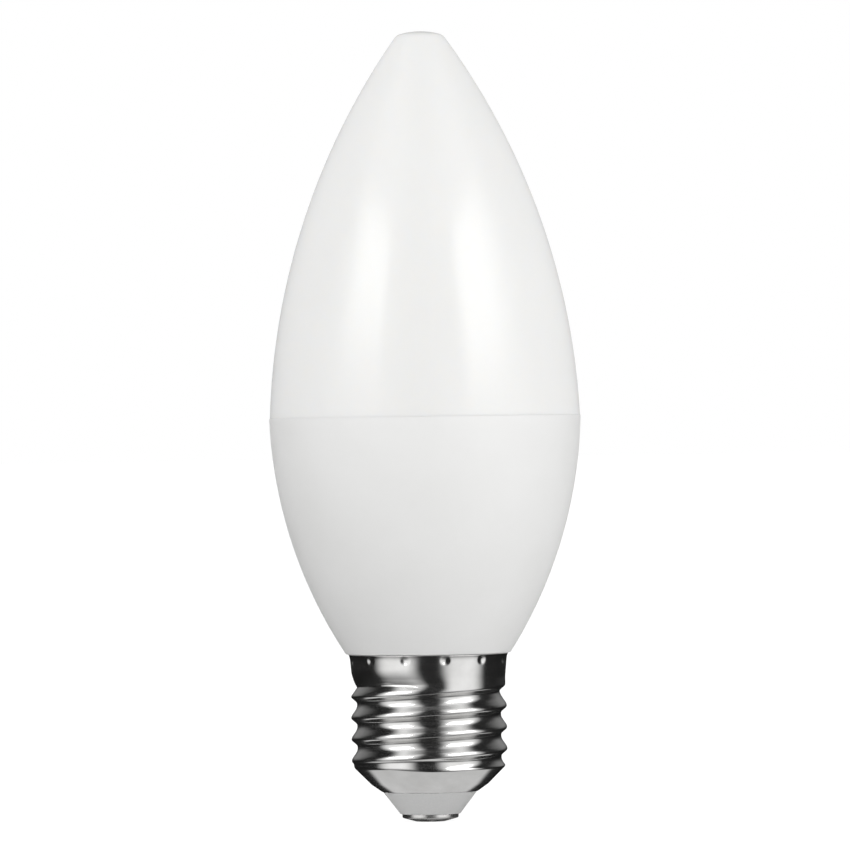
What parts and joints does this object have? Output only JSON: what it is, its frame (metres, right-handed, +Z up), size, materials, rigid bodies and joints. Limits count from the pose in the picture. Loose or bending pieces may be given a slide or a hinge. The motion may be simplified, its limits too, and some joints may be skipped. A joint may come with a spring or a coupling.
{
  "type": "candle bulb",
  "caption": "Candle-shaped light bulb: a glossy opal diffuser on a satin tapered housing, over a metal screw cap that turns into a lampholder and feeds it through the end contact.",
  "frame": {"origin": "centre of the end contact's tip, on the bulb's axis", "axes": "+Z up the bulb's axis from the end contact to the nose; -Y towards the viewer of the picture, +X to the viewer's right"},
  "size_m": [0.0526, 0.0526, 0.1334],
  "materials": {
    "opal_diffuser": "opal white, glossy, gives light through",
    "satin_housing": "white, satin moulded",
    "plated_shell": "bright nickel plate on rolled sheet",
    "grey_insulator": "light grey, matt moulded",
    "contact_metal": "stamped, plain"
  },
  "bodies": {
    "root": {"diffuser": "opal_diffuser", "housing": "satin_housing", "screw_shell": "plated_shell", "cap_insulator": "grey_insulator", "end_contact": "contact_metal"}
  },
  "joints": []
}
